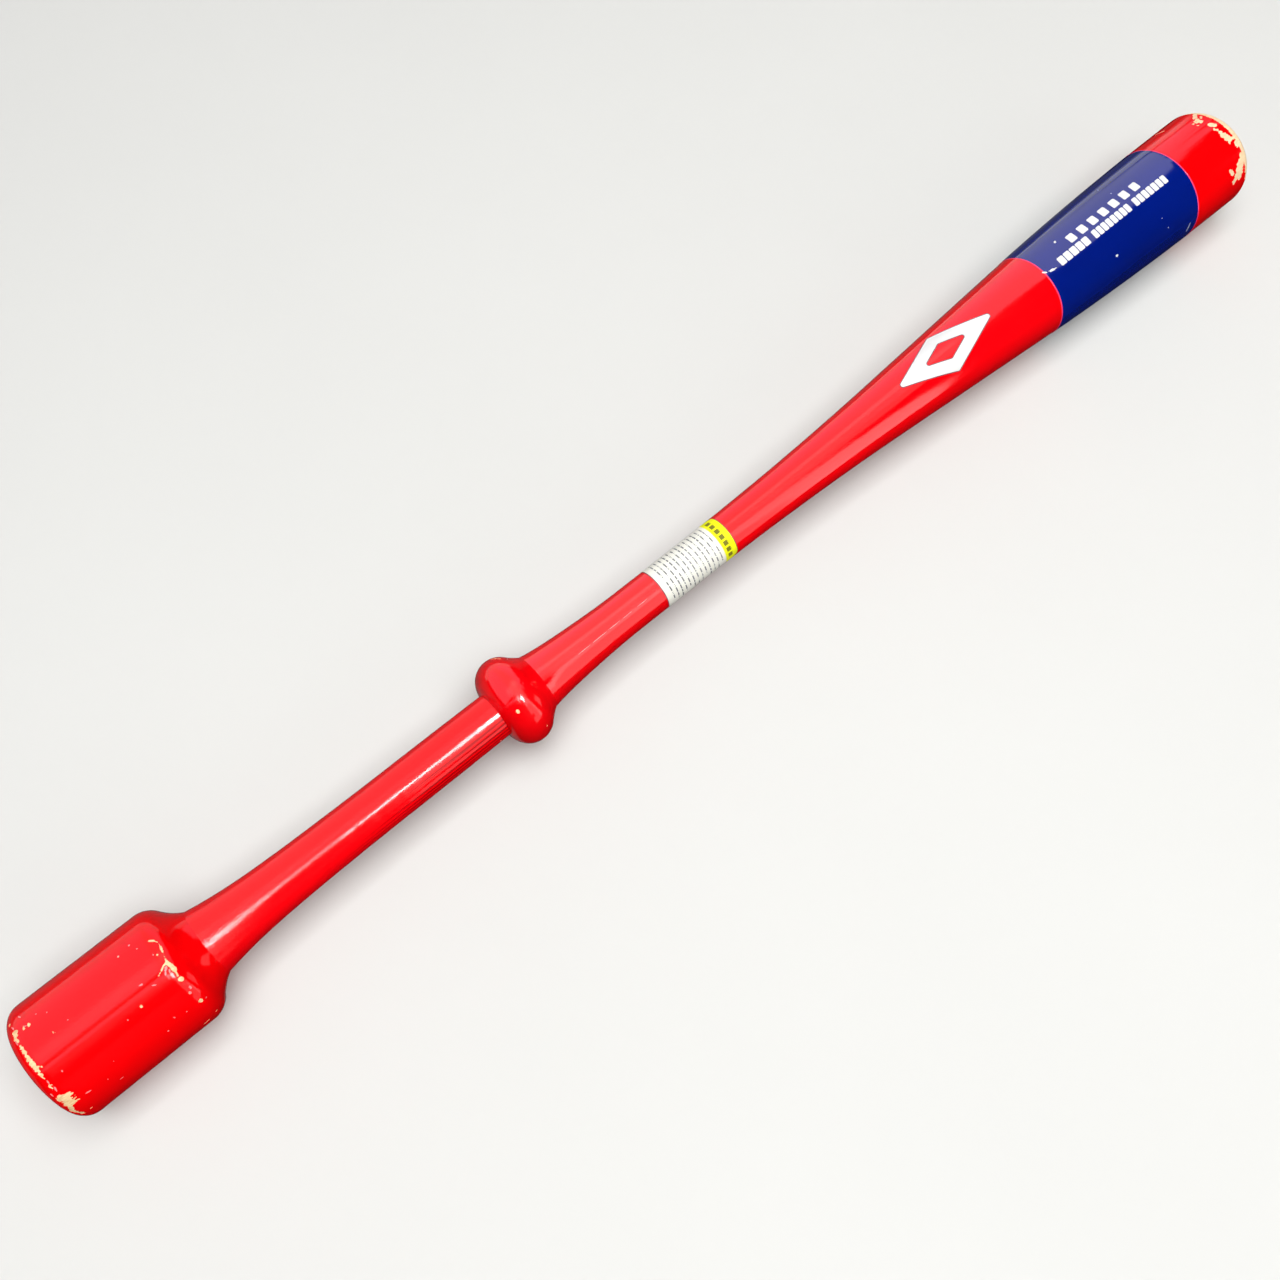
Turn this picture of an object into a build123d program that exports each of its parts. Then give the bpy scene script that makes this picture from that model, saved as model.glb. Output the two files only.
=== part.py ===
from build123d import *

import os
from math import acos, atan2, cos, degrees, hypot, radians, sin

# A wooden baseball swing-training bat lying on its side, in millimetres.
# +X runs from the counterweight to the barrel's tip and +Z is up. The origin is at mid length,
# on the surface that the bat lies on. Every "at" value is a distance from the counterweight's
# end face, along the bat, and every "radius" is measured from the bat's own centre line.

# Whole bat
overall_length = 890.0
barrel_radius = 33.0
handle_radius = 12.6

# Counterweight block
block_radius = 33.0
block_rim_radius = 9.5
block_shoulder_at = 75.2
block_shoulder_radius = 12.5
block_shoulder_turn = 55.0
block_end_at = 95.0

# Lower grip
grip_root_radius = 19.0
grip_flare_at = 113.0
grip_flare_radius = 16.4
grip_waist_at = 150.0
grip_waist_radius = 14.25
grip_front_at = 281.5
grip_front_radius = 13.3

# Grip ring
ring_bead_radius = 13.2
ring_bead_turn = 45.0
ring_end_at = 311.0
ring_end_radius = 17.0

# Handle, taper and barrel
handle_flare_at = 331.0
handle_flare_radius = 14.6
handle_straight_at = 380.0
taper_start_at = 415.0
taper_hollow_radius = 2400.0
taper_crown_radius = 2590.0
barrel_full_at = 880.0
tip_rim_radius = 9.0
tip_crown_height = 1.5

# Glued tenons of the lower grip, and the air left at the bottom of their bores
ring_tenon_radius = 7.5
ring_tenon_length = 70.0
block_tenon_radius = 11.0
block_tenon_length = 50.0
bore_end_gap = 1.0

# Coats and films
band_start_at = 710.5
band_end_at = 834.0
band_thickness = 0.15
label_start_at = 397.0
label_header_at = 440.6
label_end_at = 449.0
label_thickness = 0.15
label_wrap_turn = 160.0
label_tilt = 19.5
film_thickness = 0.12

# Barrel decal: a long lozenge ring
decal_centre_at = 627.0
decal_length = 80.0
decal_width = 28.0
decal_stroke = 7.5
decal_corner_radius = 1.5
decal_tilt = 5.0

# Rows of plain marks on the blue band; a tilt turns a row about the bat, away from the top.
# The long row has three groups of marks.
short_row_start_at = 738.6
short_row_end_at = 802.5
short_mark_count = 7
short_mark_length = 5.6
short_mark_height = 6.0
short_row_tilt = -5.0
long_group_starts_at = (722.6, 753.0, 790.0)
long_group_lengths = (26.0, 33.0, 30.0)
long_group_counts = (5, 8, 7)
long_mark_gap = 0.7
long_mark_height = 5.8
long_row_tilt = 10.0
mark_corner_radius = 0.9

# Values worked out from the dimensions above
axis_height = max(barrel_radius, block_radius)
bat_axis = Axis((0, 0, axis_height), (1, 0, 0))

# Profiles are drawn below the centre line, so that every turned surface has its seam underneath.
profile_plane = Plane(origin=(0, 0, axis_height), x_dir=(1, 0, 0), z_dir=(0, 1, 0))

# The straight taper is the common tangent of the hollow arc, whose centre is outside the wood,
# and the crown arc, whose centre is beyond the axis. Its slope follows from the two circles.
hollow_centre_radius = handle_radius + taper_hollow_radius
crown_centre_radius = barrel_radius - taper_crown_radius
arc_run = barrel_full_at - taper_start_at
arc_rise = hollow_centre_radius - crown_centre_radius
taper_slope = degrees(
    atan2(arc_run, arc_rise)
    - acos((taper_hollow_radius + taper_crown_radius) / hypot(arc_run, arc_rise))
)


def at(distance, radius):
    """A point of the turning profile, in the profile plane."""
    return (distance - overall_length / 2, radius)


def handle_to_barrel(lift):
    """Draws the handle, taper and barrel as one smooth line, lifted off the wood by that much."""
    hollow_centre = at(taper_start_at, hollow_centre_radius)
    crown_centre = at(barrel_full_at, crown_centre_radius)
    handle = Line(
        at(handle_straight_at, handle_radius + lift), at(taper_start_at, handle_radius + lift)
    )
    hollow = CenterArc(hollow_centre, taper_hollow_radius - lift, 270, taper_slope)
    crown = CenterArc(crown_centre, taper_crown_radius + lift, 90, taper_slope)
    Line(hollow @ 1, crown @ 1)
    return handle @ 0, crown @ 0


def turned_region(lift):
    """Draws the closed outline between the handle-to-barrel line and the bat's centre line."""
    start, end = handle_to_barrel(lift)
    Polyline(start, (start.X, 0), (end.X, 0), end)


def coat(start_at, end_at, inner_lift, outer_lift):
    """The section of a thin coat between two stations, in the profile plane."""
    with BuildSketch() as section:
        with BuildLine():
            turned_region(outer_lift)
        make_face()
        with BuildLine():
            turned_region(inner_lift)
        make_face(mode=Mode.SUBTRACT)
        with Locations(at((start_at + end_at) / 2, barrel_radius / 2)):
            Rectangle(end_at - start_at, 2 * barrel_radius, mode=Mode.INTERSECT)
    return section.sketch


def tilted_plane(tilt):
    """A plane through the bat's centre line that faces up, turned about the bat towards -Y."""
    normal = (0, -sin(radians(tilt)), cos(radians(tilt)))
    return Plane(origin=(0, 0, axis_height), x_dir=(1, 0, 0), z_dir=normal)


def save(part, name):
    """Labels a finished piece and writes its file."""
    part.label = name
    export_step(part, f"parts/{name}.step")


os.makedirs("parts", exist_ok=True)

# Barrel, taper and handle, turned in one. The butt flares to meet the ring and is bored.
with BuildPart() as barrel_and_handle:
    with BuildSketch(profile_plane) as barrel_profile:
        with BuildLine():
            straight_start, barrel_end = handle_to_barrel(0)
            Spline(
                at(ring_end_at, ring_end_radius),
                at(handle_flare_at, handle_flare_radius),
                straight_start,
                tangents=[(1, -0.2), (1, 0)],
            )
            tip_corner = at(overall_length - tip_crown_height, barrel_radius)
            Line(barrel_end, tip_corner)
            tip_mirror = at(overall_length - tip_crown_height, -barrel_radius)
            tip_arc = ThreePointArc(tip_corner, at(overall_length, 0), tip_mirror, mode=Mode.PRIVATE)
            add(tip_arc.trim(0, 0.5))
            Polyline(
                tip_arc @ 0.5, at(ring_end_at, 0), at(ring_end_at, ring_end_radius)
            )
        make_face()
        fillet(barrel_profile.vertices().sort_by_distance(tip_corner)[0], tip_rim_radius)
    revolve(axis=bat_axis)
    with BuildSketch(profile_plane):
        bore_end_at = grip_front_at + ring_tenon_length + bore_end_gap
        with BuildLine():
            Polyline(
                at(ring_end_at, 0),
                at(bore_end_at, 0),
                at(bore_end_at, ring_tenon_radius),
                at(ring_end_at, ring_tenon_radius),
                close=True,
            )
        make_face()
    revolve(axis=bat_axis, mode=Mode.SUBTRACT)
save(barrel_and_handle.part, "barrel_and_handle")

# Round bead ring. Its front side sweeps down in a cove to the handle's flared butt.
with BuildPart() as grip_ring:
    with BuildSketch(profile_plane):
        with BuildLine():
            bead = CenterArc(
                at(grip_front_at + ring_bead_radius, grip_front_radius),
                ring_bead_radius,
                ring_bead_turn,
                180 - ring_bead_turn,
            )
            cove = TangentArc(bead @ 0, at(ring_end_at, ring_end_radius), tangent=-(bead % 0))
            Polyline(
                cove @ 1,
                at(ring_end_at, ring_tenon_radius),
                at(grip_front_at, ring_tenon_radius),
                bead @ 1,
            )
        make_face()
    revolve(axis=bat_axis)
save(grip_ring.part, "grip_ring")

# Lower grip, flared towards the counterweight, with a glued tenon at each end.
with BuildPart() as lower_grip:
    with BuildSketch(profile_plane):
        block_tenon_at = block_end_at - block_tenon_length
        ring_tenon_at = grip_front_at + ring_tenon_length
        with BuildLine():
            Spline(
                at(block_end_at, grip_root_radius),
                at(grip_flare_at, grip_flare_radius),
                at(grip_waist_at, grip_waist_radius),
                at(grip_front_at, grip_front_radius),
                tangents=[(1, -0.18), (1, -0.008)],
            )
            Polyline(
                at(grip_front_at, grip_front_radius),
                at(grip_front_at, ring_tenon_radius),
                at(ring_tenon_at, ring_tenon_radius),
                at(ring_tenon_at, 0),
                at(block_tenon_at, 0),
                at(block_tenon_at, block_tenon_radius),
                at(block_end_at, block_tenon_radius),
                at(block_end_at, grip_root_radius),
            )
        make_face()
    revolve(axis=bat_axis)
save(lower_grip.part, "lower_grip")

# Counterweight: a round block with a rounded rim and a shoulder that sweeps down to the grip.
with BuildPart() as counterweight_block:
    with BuildSketch(profile_plane) as block_profile:
        block_bore_at = block_end_at - block_tenon_length - bore_end_gap
        with BuildLine():
            shoulder = CenterArc(
                at(block_shoulder_at, block_radius - block_shoulder_radius),
                block_shoulder_radius,
                90,
                -block_shoulder_turn,
            )
            sweep_down = TangentArc(
                shoulder @ 1, at(block_end_at, grip_root_radius), tangent=shoulder % 1
            )
            Polyline(
                sweep_down @ 1,
                at(block_end_at, block_tenon_radius),
                at(block_bore_at, block_tenon_radius),
                at(block_bore_at, 0),
                at(0, 0),
                at(0, block_radius),
                shoulder @ 0,
            )
        make_face()
        fillet(
            block_profile.vertices().sort_by_distance(at(0, block_radius))[0], block_rim_radius
        )
    revolve(axis=bat_axis)
save(counterweight_block.part, "counterweight_block")

# Blue coat round the barrel.
with BuildPart() as blue_band:
    with BuildSketch(profile_plane):
        add(coat(band_start_at, band_end_at, 0, band_thickness))
    revolve(axis=bat_axis)
save(blue_band.part, "blue_band")

# Paper label on the upper half of the handle: a white sheet and its yellow header, edge to edge.
label_edge_angle = label_wrap_turn / 2 - label_tilt
label_edge_plane = Plane(
    origin=(0, 0, axis_height),
    x_dir=(1, 0, 0),
    z_dir=(0, -cos(radians(label_edge_angle)), sin(radians(label_edge_angle))),
)
with BuildPart() as label_sheet:
    with BuildSketch(label_edge_plane):
        add(coat(label_start_at, label_header_at, 0, label_thickness))
    revolve(axis=bat_axis, revolution_arc=label_wrap_turn)
save(label_sheet.part, "label_sheet")

with BuildPart() as label_header:
    with BuildSketch(label_edge_plane):
        add(coat(label_header_at, label_end_at, 0, label_thickness))
    revolve(axis=bat_axis, revolution_arc=label_wrap_turn)
save(label_header.part, "label_header")

# White decal on the straight part of the taper, cut as a lozenge ring.
with BuildPart() as barrel_decal:
    with BuildSketch(tilted_plane(decal_tilt)) as decal_outline:
        half_length = decal_length / 2
        half_width = decal_width / 2
        stroke_share = 1 - 2 * decal_stroke / decal_width
        for share, mode in ((1.0, Mode.ADD), (stroke_share, Mode.SUBTRACT)):
            centre = at(decal_centre_at, 0)
            with BuildLine():
                Polyline(
                    (centre[0] - half_length * share, 0),
                    (centre[0], half_width * share),
                    (centre[0] + half_length * share, 0),
                    (centre[0], -half_width * share),
                    close=True,
                )
            make_face(mode=mode)
        fillet(decal_outline.vertices(), decal_corner_radius)
    extrude(amount=2 * barrel_radius)
    with BuildSketch(profile_plane):
        decal_start_at = decal_centre_at - half_length - 1
        decal_end_at = decal_centre_at + half_length + 1
        add(coat(decal_start_at, decal_end_at, 0, film_thickness))
    revolve(axis=bat_axis, mode=Mode.INTERSECT)
save(barrel_decal.part, "barrel_decal")


def mark_row(starts, lengths, height, tilt):
    """A row of plain rounded marks that lie on the blue band, each one its own solid."""
    with BuildPart() as row:
        with BuildSketch(tilted_plane(tilt)):
            for start, length in zip(starts, lengths):
                with Locations(at(start + length / 2, 0)):
                    RectangleRounded(length, height, mark_corner_radius)
        extrude(amount=2 * barrel_radius)
        with BuildSketch(profile_plane):
            add(coat(band_start_at, band_end_at, band_thickness, band_thickness + film_thickness))
        revolve(axis=bat_axis, mode=Mode.INTERSECT)
    return row.part


# Two rows of white marks on the blue band: a row of short ones and a row of long ones.
short_pitch = (short_row_end_at - short_row_start_at - short_mark_length) / (short_mark_count - 1)
short_starts = [short_row_start_at + short_pitch * k for k in range(short_mark_count)]
short_lengths = [short_mark_length] * short_mark_count
with BuildPart() as band_marks_short:
    add(mark_row(short_starts, short_lengths, short_mark_height, short_row_tilt))
save(band_marks_short.part, "band_marks_short")

long_starts = []
long_lengths = []
for group_start, group_length, count in zip(
    long_group_starts_at, long_group_lengths, long_group_counts
):
    long_pitch = (group_length + long_mark_gap) / count
    long_starts += [group_start + long_pitch * k for k in range(count)]
    long_lengths += [long_pitch - long_mark_gap] * count
with BuildPart() as band_marks_long:
    add(mark_row(long_starts, long_lengths, long_mark_height, long_row_tilt))
save(band_marks_long.part, "band_marks_long")
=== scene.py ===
import math

import bmesh
import bpy
import numpy as np
from mathutils import Matrix, Vector, noise
from mathutils.bvhtree import BVHTree


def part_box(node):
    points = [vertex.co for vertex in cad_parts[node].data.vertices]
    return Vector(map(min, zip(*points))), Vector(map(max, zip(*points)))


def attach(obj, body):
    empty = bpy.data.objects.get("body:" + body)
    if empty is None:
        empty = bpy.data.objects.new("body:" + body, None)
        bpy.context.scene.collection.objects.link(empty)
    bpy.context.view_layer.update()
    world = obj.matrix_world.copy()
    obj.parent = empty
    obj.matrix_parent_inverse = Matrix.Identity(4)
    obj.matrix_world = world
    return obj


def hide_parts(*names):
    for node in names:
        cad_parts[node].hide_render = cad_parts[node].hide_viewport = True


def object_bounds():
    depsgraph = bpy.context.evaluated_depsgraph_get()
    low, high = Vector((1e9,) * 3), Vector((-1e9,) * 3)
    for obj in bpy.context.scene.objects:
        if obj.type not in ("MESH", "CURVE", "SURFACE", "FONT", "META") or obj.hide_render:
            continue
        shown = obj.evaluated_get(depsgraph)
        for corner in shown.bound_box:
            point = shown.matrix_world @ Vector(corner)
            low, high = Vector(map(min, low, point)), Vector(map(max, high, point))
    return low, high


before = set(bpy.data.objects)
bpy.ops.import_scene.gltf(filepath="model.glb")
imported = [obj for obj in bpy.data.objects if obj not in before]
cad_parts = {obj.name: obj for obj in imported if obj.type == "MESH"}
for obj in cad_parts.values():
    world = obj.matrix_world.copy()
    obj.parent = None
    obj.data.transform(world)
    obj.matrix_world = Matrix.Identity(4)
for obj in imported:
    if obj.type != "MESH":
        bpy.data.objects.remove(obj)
cad_low, cad_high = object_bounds()

# ---------------------------------------------------------------- measures, in millimetres
MM = 0.001
tail = cad_low.x
barrel_low, barrel_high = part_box("barrel_and_handle")
axis_height = (barrel_low.z + barrel_high.z) / 2
overall = (cad_high.x - cad_low.x) / MM


def station_of(value):
    """A place along the bat, in millimetres from its tail end."""
    return (value - tail) / MM


block_end = station_of(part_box("counterweight_block")[1].x)
ring_start = station_of(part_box("grip_ring")[0].x)
ring_end = station_of(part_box("grip_ring")[1].x)
label_start = station_of(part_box("label_sheet")[0].x)
label_seam = station_of(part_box("label_header")[0].x)
label_end = station_of(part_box("label_header")[1].x)
blue_start = station_of(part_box("blue_band")[0].x)
blue_end = station_of(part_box("blue_band")[1].x)

# Coats and films. The CAD outline of the wood is the outer face of its red coat. A lift is how far another
# outer face stands above that outline, and a depth how far something reaches below the face that it lies on. The
# bare wood reaches up into its coat by the overlap, so that no gap shows at a chip.
coat = 0.2
coat_overlap = 0.02
blue_lift = 0.15
label_lift, label_thickness = 0.15, 0.12
# The thin dark lines round the label and the decal are painted shadow: dark sheets that reach a little past
# their edges.
label_shadow_lift, label_shadow_thickness, label_shadow_reach = 0.07, 0.06, 0.4
header_corner = 4.5
print_thickness, print_depth = 0.012, 0.05
fleck_thickness, fleck_depth = 0.05, 0.04
decal_shadow_thickness, decal_shadow_reach = 0.03, 0.55


# ---------------------------------------------------------------- turned outlines
def outline(node, low, high, least):
    """The outer outline of a turned CAD node between two stations, as rows of (station, radius).

    Points nearer the axis than least belong to end faces, bores and tenons, and are left out. Of the others,
    one is kept where the outline turns by more than 2 degrees, and otherwise about every 6 mm.
    """
    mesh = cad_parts[node].data
    co = np.array([v.co for v in mesh.vertices])
    along = np.round(station_of(co[:, 0]), 3)
    around = np.hypot(co[:, 1], co[:, 2] - axis_height) / MM
    inside = (along >= low - 0.01) & (along <= high + 0.01) & (around > least)
    widest = {}
    for x, r in zip(along[inside], around[inside]):
        widest[x] = max(widest.get(x, 0.0), r)
    points = sorted(widest.items())
    kept = [points[0]]
    for here, after in zip(points[1:-1], points[2:]):
        gap = math.dist(kept[-1], here)
        turn = abs(
            math.atan2(here[1] - kept[-1][1], here[0] - kept[-1][0])
            - math.atan2(after[1] - here[1], after[0] - here[0])
        )
        if gap > 6.0 or (gap > 0.5 and turn > math.radians(2)):
            kept.append(here)
    kept.append(points[-1])
    return np.array(kept)


def slopes(t, v):
    """Tangents for a curve that passes its points without overshooting them."""
    h, step = np.diff(t), np.diff(v) / np.diff(t)
    out = np.zeros_like(v)
    same = step[:-1] * step[1:] > 0
    w1, w2 = 2 * h[1:] + h[:-1], h[1:] + 2 * h[:-1]
    with np.errstate(divide="ignore", invalid="ignore"):
        mean = (w1 + w2) / (w1 / step[:-1] + w2 / step[1:])
    out[1:-1] = np.where(same, mean, 0.0)
    out[0], out[-1] = step[0], step[-1]
    return out


def smooth(points, spacing):
    """Rows of (station, radius) along a smooth curve through points, spaced by spacing(station)."""
    t = np.r_[0, np.cumsum(np.hypot(*np.diff(points, axis=0).T))]
    fine = np.r_[np.arange(0, t[-1], 0.05), t[-1]]
    columns = []
    for v in points.T:
        m = slopes(t, v)
        k = np.clip(np.searchsorted(t, fine, side="right") - 1, 0, len(t) - 2)
        h = t[k + 1] - t[k]
        s = (fine - t[k]) / h
        columns.append(
            v[k] * (1 + 2 * s) * (1 - s) ** 2
            + v[k + 1] * s * s * (3 - 2 * s)
            + h * m[k] * s * (1 - s) ** 2
            + h * m[k + 1] * s * s * (s - 1)
        )
    curve = np.array(columns).T
    places = [0.0]
    while places[-1] < t[-1]:
        x = np.interp(places[-1], fine, curve[:, 0])
        places.append(places[-1] + spacing(x))
    places = np.array(places) * t[-1] / places[-1]
    return np.array([np.interp(places, fine, c) for c in curve.T]).T


def sunk(path, depth):
    """The same outline, moved inwards by depth."""
    d = np.gradient(path, axis=0)
    n = np.array([-d[:, 1], d[:, 0]]).T / np.hypot(*d.T)[:, None]
    return path - n * depth


def ring_points(path, angles):
    """Points of the outline turned about the axis, in metres: rows by columns by 3."""
    x = tail + path[:, 0][:, None] * MM + 0 * angles
    r = path[:, 1][:, None] * MM
    return np.stack([x, r * np.sin(angles), axis_height + r * np.cos(angles)], -1)


def mesh_object(name, points, faces, material):
    """A smooth shaded object with one material, linked into the scene."""
    mesh = bpy.data.meshes.new(name)
    mesh.from_pydata([tuple(p) for p in points], [], faces)
    mesh.validate()
    mesh.shade_smooth()
    mesh.set_sharp_from_angle(angle=math.radians(40))
    mesh.materials.append(material)
    piece = bpy.data.objects.new(name, mesh)
    bpy.context.scene.collection.objects.link(piece)
    return piece


def grid_faces(rows, columns):
    """Quads of a closed tube of rows by columns."""
    i, j = np.meshgrid(np.arange(rows - 1), np.arange(columns), indexing="ij")
    k = (j + 1) % columns
    quads = np.stack([i * columns + j, i * columns + k, (i + 1) * columns + k, (i + 1) * columns + j], -1)
    return quads.reshape(-1, 4)


def core(name, path, columns, material):
    """A closed turned body."""
    angles = np.arange(columns) * 2 * math.pi / columns
    points = ring_points(path, angles).reshape(-1, 3)
    faces = grid_faces(len(path), columns).tolist()
    last = (len(path) - 1) * columns
    faces.append(list(range(columns))[::-1])
    faces.append([last + j for j in range(columns)])
    return mesh_object(name, points, faces, material)


def shell(name, path, columns, material, thickness, left=None, dents=(), cap=None):
    """A coat on a turned body: the outline is its outer face.

    left(x, angle, radius) is above 0 where the coat is left, dents are (station, angle, radius, depth), and
    cap closes the coat over an end, "first" or "last".
    """
    angles = np.arange(columns) * 2 * math.pi / columns
    pressed = np.zeros((len(path), columns))
    for x, angle, radius, depth in dents:
        away = (angles - math.radians(angle) + math.pi) % (2 * math.pi) - math.pi
        far = np.hypot(path[:, 0][:, None] - x, away * path[:, 1][:, None]) / radius
        pressed += depth * np.exp(-far**4)
    outer = ring_points(path, angles)
    inner = ring_points(sunk(path, thickness), angles)
    inward = (inner - outer) / (thickness * MM)
    outer = outer + inward * pressed[..., None] * MM
    inner = inner + inward * pressed[..., None] * MM
    rows = len(path)
    outer, inner = outer.reshape(-1, 3), inner.reshape(-1, 3)
    quads = grid_faces(rows, columns)
    faces = []
    if left is None:
        faces = quads.tolist()
    else:
        flat = 0 * path[:, :1] + 0 * angles
        field = left(path[:, :1] + flat, angles + flat, path[:, 1:] + flat).ravel()
        # Quads that the edge of a worn place crosses are cut along it.
        whole = (field[quads] > 0).sum(1)
        faces = quads[whole == 4].tolist()
        more_outer, more_inner, cuts = [], [], {}
        for quad in quads[(whole > 0) & (whole < 4)].tolist():
            face = []
            for a, b in zip(quad, quad[1:] + quad[:1]):
                if field[a] > 0:
                    face.append(a)
                if (field[a] > 0) != (field[b] > 0):
                    key = (min(a, b), max(a, b))
                    if key not in cuts:
                        p, q = key
                        s = min(0.92, max(0.08, field[p] / (field[p] - field[q])))
                        cuts[key] = len(outer) + len(more_outer)
                        more_outer.append(outer[p] * (1 - s) + outer[q] * s)
                        more_inner.append(inner[p] * (1 - s) + inner[q] * s)
                    face.append(cuts[key])
            faces.append(face)
        if more_outer:
            outer = np.concatenate([outer, more_outer])
            inner = np.concatenate([inner, more_inner])
    if cap == "first":
        faces.append(list(range(columns))[::-1])
    if cap == "last":
        faces.append([(rows - 1) * columns + j for j in range(columns)])
    # The inner face is the outer one turned over, with a wall along every open edge.
    edges = {(a, b) for face in faces for a, b in zip(face, face[1:] + face[:1])}
    count = len(outer)
    closed = faces + [[v + count for v in face[::-1]] for face in faces]
    closed += [[b, a, a + count, b + count] for a, b in sorted(edges) if (b, a) not in edges]
    used = np.zeros(2 * count, bool)
    for face in closed:
        used[face] = True
    number = np.cumsum(used) - 1
    points = np.concatenate([outer, inner])[used]
    return mesh_object(name, points, [[int(number[v]) for v in face] for face in closed], material)


# ---------------------------------------------------------------- wear
def wear(marks=(), bands=(), seed=0.0):
    """Where the coat is left.

    A mark is (station, angle, station, angle, width, raggedness): a worn line or, where both places are one,
    a round chip. A band is (station from, to, angle from, to, raggedness). The raggedness pulls the edges into
    long teeth that run with the grain, and roughens them with a finer grit.
    """

    def left(x, angle, r):
        shape = x.shape
        at = np.stack([x, r * np.sin(angle), r * np.cos(angle)], -1).reshape(-1, 3)
        teeth = np.array([noise.noise(Vector((a * 0.16 + seed, b * 0.95, c * 0.95))) for a, b, c in at])
        grit = np.array([noise.noise(Vector((a * 0.8, b * 1.2 + seed, c * 1.2))) for a, b, c in at])
        teeth, grit = teeth.reshape(shape), grit.reshape(shape)
        field = np.full(shape, 5.0)
        for x1, a1, x2, a2, width, ragged in marks:
            away = (angle - math.radians(a1) + math.pi) % (2 * math.pi) - math.pi
            u, v = x - x1 + 2.4 * ragged * teeth, away * r
            du, dv = x2 - x1, math.radians(a2 - a1) * r
            along = np.clip((u * du + v * dv) / (du * du + dv * dv + 1e-9), 0, 1)
            d = np.hypot(u - along * du, v - along * dv) - width / 2
            field = np.minimum(field, d + 0.9 * ragged * grit)
        for start, end, first, last, ragged in bands:
            middle, half = math.radians((first + last) / 2), math.radians(abs(last - first) / 2)
            away = abs((angle - middle + math.pi) % (2 * math.pi) - math.pi)
            u = x + 1.6 * ragged * teeth + 1.2 * ragged * grit
            field = np.minimum(field, np.maximum(np.maximum(start - u, x - end), (away - half) * r * 0.5))
        return field

    return left


def round_about(node, reach):
    """Left over within reach, in millimetres, of a CAD node's surface."""
    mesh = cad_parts[node].data
    tree = BVHTree.FromPolygons([v.co for v in mesh.vertices], [tuple(f.vertices) for f in mesh.polygons])

    def left(x, angle, r):
        at = np.stack([tail + x * MM, r * MM * np.sin(angle), axis_height + r * MM * np.cos(angle)], -1)
        out = np.full(x.size, -1.0)
        for k, place in enumerate(at.reshape(-1, 3)):
            near = tree.find_nearest(Vector(place), 3 * reach * MM)[3]
            if near is not None:
                out[k] = reach - near / MM
        return out.reshape(x.shape)

    return left


# ---------------------------------------------------------------- materials
def tree_of(name):
    """A new material, its node tree and its shader, already joined to the output."""
    m = bpy.data.materials.new(name)
    m.use_nodes = True
    m.node_tree.nodes.clear()
    shader = m.node_tree.nodes.new("ShaderNodeBsdfPrincipled")
    out = m.node_tree.nodes.new("ShaderNodeOutputMaterial")
    m.node_tree.links.new(shader.outputs["BSDF"], out.inputs["Surface"])
    return m, m.node_tree, shader


def add_node(tree, kind, inputs=None, **values):
    """A node, with its inputs linked to sockets or set to values."""
    n = tree.nodes.new(kind)
    for key, value in values.items():
        setattr(n, key, value)
    for key, value in (inputs or {}).items():
        if isinstance(value, bpy.types.NodeSocket):
            tree.links.new(value, n.inputs[key])
        else:
            n.inputs[key].default_value = value
    return n


def stretched_noise(tree, scale, detail=3.0, roughness=0.5):
    """Noise whose scale, per metre, differs along the three axes."""
    place = add_node(tree, "ShaderNodeTexCoord").outputs["Object"]
    stretch = add_node(tree, "ShaderNodeMapping", {"Vector": place, "Scale": scale})
    return add_node(
        tree,
        "ShaderNodeTexNoise",
        {"Vector": stretch.outputs["Vector"], "Scale": 1.0, "Detail": detail, "Roughness": roughness},
    ).outputs["Fac"]


def ranged(tree, value, a, b, low, high):
    """The value, mapped from a...b to low...high and clamped."""
    return add_node(
        tree,
        "ShaderNodeMapRange",
        {"Value": value, "From Min": a, "From Max": b, "To Min": low, "To Max": high},
    ).outputs["Result"]


def maths(tree, operation, a, b=0.0):
    return add_node(tree, "ShaderNodeMath", {0: a, 1: b}, operation=operation).outputs[0]


def mixed(tree, factor, a, b):
    """Colour a blended towards colour b."""
    n = tree.nodes.new("ShaderNodeMix")
    n.data_type = "RGBA"
    for socket, value in ((n.inputs[0], factor), (n.inputs[6], a), (n.inputs[7], b)):
        if isinstance(value, bpy.types.NodeSocket):
            tree.links.new(value, socket)
        else:
            socket.default_value = value if socket is n.inputs[0] else (*value, 1.0)
    return n.outputs[2]


def speckle(tree, scale, size, share):
    """1 in small round spots, 0 elsewhere: a share of the cells has one."""
    place = add_node(tree, "ShaderNodeTexCoord").outputs["Object"]
    cells = add_node(tree, "ShaderNodeTexVoronoi", {"Vector": place, "Scale": scale, "Randomness": 1.0})
    pick = add_node(tree, "ShaderNodeSeparateColor", {"Color": cells.outputs["Color"]})
    chosen = maths(tree, "LESS_THAN", pick.outputs[0], share)
    near = ranged(tree, cells.outputs["Distance"], size, size * 0.6, 0.0, 1.0)
    return maths(tree, "MULTIPLY", near, chosen)


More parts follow.
